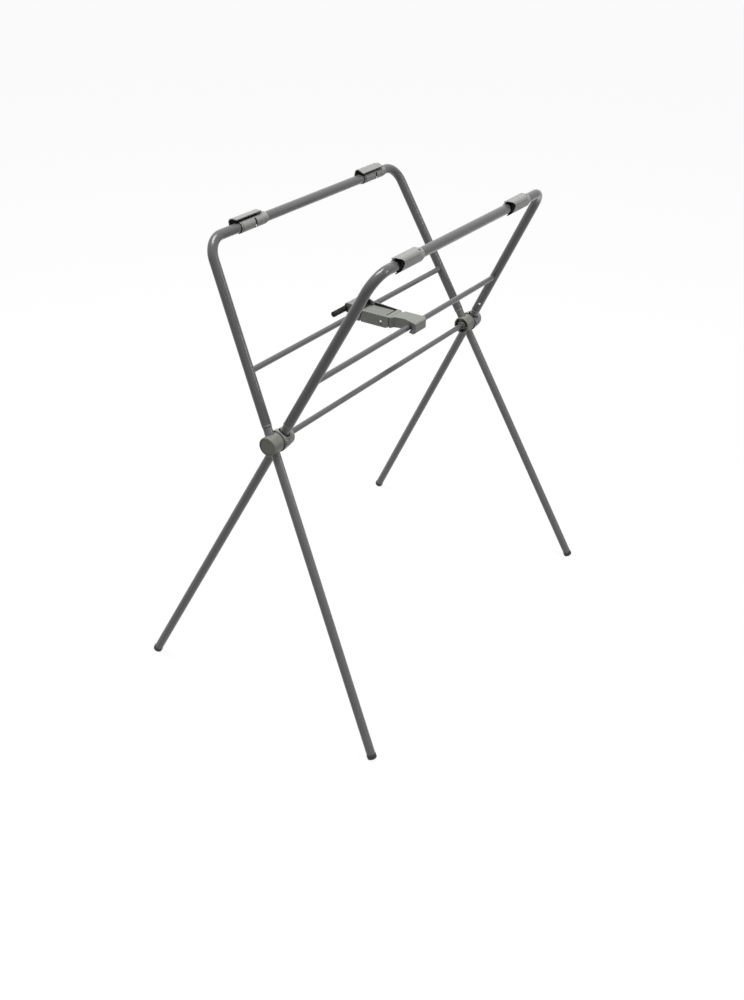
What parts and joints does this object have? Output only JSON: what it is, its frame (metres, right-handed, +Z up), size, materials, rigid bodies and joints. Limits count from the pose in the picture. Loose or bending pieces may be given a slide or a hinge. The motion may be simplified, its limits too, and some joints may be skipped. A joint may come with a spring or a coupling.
{
  "type": "baby bath stand",
  "caption": "Folding bath stand: two bent-tube trapezoid frames crossed at plastic hubs, a hooked locking arm between crossbars, and turning clips on the top rails.",
  "frame": {"origin": "on the floor, under the middle of the open stand", "axes": "+X from the rear rail to the front rail, +Y along the rails, +Z up"},
  "size_m": [0.6058, 0.9514, 0.9607],
  "materials": {
    "tube_paint": "satin powder coat",
    "foot_plastic": "satin",
    "collar_plastic": "satin",
    "fitting_plastic": "satin",
    "black_plastic": "satin, ribbed",
    "bright_steel": "bright"
  },
  "bodies": {
    "rear_frame": {"rear_rail_tube": "tube_paint", "rear_crossbar": "tube_paint", "front_leg_near": "tube_paint", "front_leg_far": "tube_paint", "front_foot_near": "foot_plastic", "front_foot_far": "foot_plastic", "front_leg_bush_near": "tube_paint", "front_leg_bush_far": "tube_paint", "hub_socket_near": "fitting_plastic", "hub_socket_far": "fitting_plastic", "hub_cap_near": "fitting_plastic", "hub_bolts": "bright_steel", "pivot_tube": "tube_paint", "pivot_insert_near": "bright_steel", "pivot_insert_far": "bright_steel", "pivot_rings": "fitting_plastic", "rear_clip_pins": "bright_steel"},
    "front_frame": {"front_rail_tube": "tube_paint", "front_crossbar": "tube_paint", "rear_leg_near": "tube_paint", "rear_leg_far": "tube_paint", "rear_foot_near": "foot_plastic", "rear_foot_far": "foot_plastic", "rear_leg_bush_near": "tube_paint", "rear_leg_bush_far": "tube_paint", "hub_collar_near": "collar_plastic", "hub_collar_far": "collar_plastic", "hub_plug_far": "collar_plastic", "front_clip_pins": "bright_steel"},
    "locking_arm": {"arm_rear_block": "fitting_plastic", "arm_housing": "fitting_plastic", "arm_hook": "fitting_plastic", "arm_pin": "bright_steel", "arm_screws": "bright_steel", "grip": "black_plastic", "grip_rod": "bright_steel"},
    "release_plate": {"release_plate": "fitting_plastic"},
    "front_leg_button_near": {"front_leg_button_near": "bright_steel"},
    "front_leg_button_far": {"front_leg_button_far": "bright_steel"},
    "rear_leg_button_near": {"rear_leg_button_near": "bright_steel"},
    "rear_leg_button_far": {"rear_leg_button_far": "bright_steel"},
    "rear_clip_near": {"rear_clip_near": "fitting_plastic", "rear_pad_near": "black_plastic"},
    "rear_clip_far": {"rear_clip_far": "fitting_plastic", "rear_pad_far": "black_plastic"},
    "front_clip_near": {"front_clip_near": "fitting_plastic", "front_pad_near": "black_plastic"},
    "front_clip_far": {"front_clip_far": "fitting_plastic", "front_pad_far": "black_plastic"}
  },
  "joints": [
    {"name": "frame_fold", "type": "hinge", "parent": "rear_frame", "child": "front_frame", "pos_m": [0, 0, 0.587], "axis": [0, -1, 0], "range_deg": [0, 43]},
    {"name": "arm_lift", "type": "hinge", "parent": "rear_frame", "child": "locking_arm", "pos_m": [-0.0643, 0.0145, 0.71417], "axis": [0, -1, 0], "range_deg": [0, 104]},
    {"name": "plate_press", "type": "slide", "parent": "locking_arm", "child": "release_plate", "axis": [0, 0, -1], "range_m": [0, 0.0025], "stiffness_N_per_m": 400, "springref_m": -0.002},
    {"name": "front_leg_button_press_near", "type": "slide", "parent": "rear_frame", "child": "front_leg_button_near", "axis": [0.2535, -0.9327, 0.2565], "range_m": [0, 0.0025], "stiffness_N_per_m": 400, "springref_m": -0.002},
    {"name": "front_leg_button_press_far", "type": "slide", "parent": "rear_frame", "child": "front_leg_button_far", "axis": [0.2535, 0.9327, 0.2565], "range_m": [0, 0.0025], "stiffness_N_per_m": 400, "springref_m": -0.002},
    {"name": "rear_leg_button_press_near", "type": "slide", "parent": "front_frame", "child": "rear_leg_button_near", "axis": [-0.2535, -0.9327, 0.2565], "range_m": [0, 0.0025], "stiffness_N_per_m": 400, "springref_m": -0.002},
    {"name": "rear_leg_button_press_far", "type": "slide", "parent": "front_frame", "child": "rear_leg_button_far", "axis": [-0.2535, 0.9327, 0.2565], "range_m": [0, 0.0025], "stiffness_N_per_m": 400, "springref_m": -0.002},
    {"name": "rear_clip_near_turn", "type": "hinge", "parent": "rear_frame", "child": "rear_clip_near", "pos_m": [-0.1785, -0.2045, 0.94], "axis": [0, 1, 0], "range_deg": [-20, 70]},
    {"name": "rear_clip_far_turn", "type": "hinge", "parent": "rear_frame", "child": "rear_clip_far", "pos_m": [-0.1785, 0.2205, 0.94], "axis": [0, 1, 0], "range_deg": [-45, 45]},
    {"name": "front_clip_near_turn", "type": "hinge", "parent": "front_frame", "child": "front_clip_near", "pos_m": [0.1785, -0.2045, 0.94], "axis": [0, -1, 0], "range_deg": [-20, 70]},
    {"name": "front_clip_far_turn", "type": "hinge", "parent": "front_frame", "child": "front_clip_far", "pos_m": [0.1785, 0.2205, 0.94], "axis": [0, -1, 0], "range_deg": [-20, 70]}
  ],
  "couplings": [
    {"joint": "arm_lift", "follows": "frame_fold", "ratio": 2.4}
  ]
}
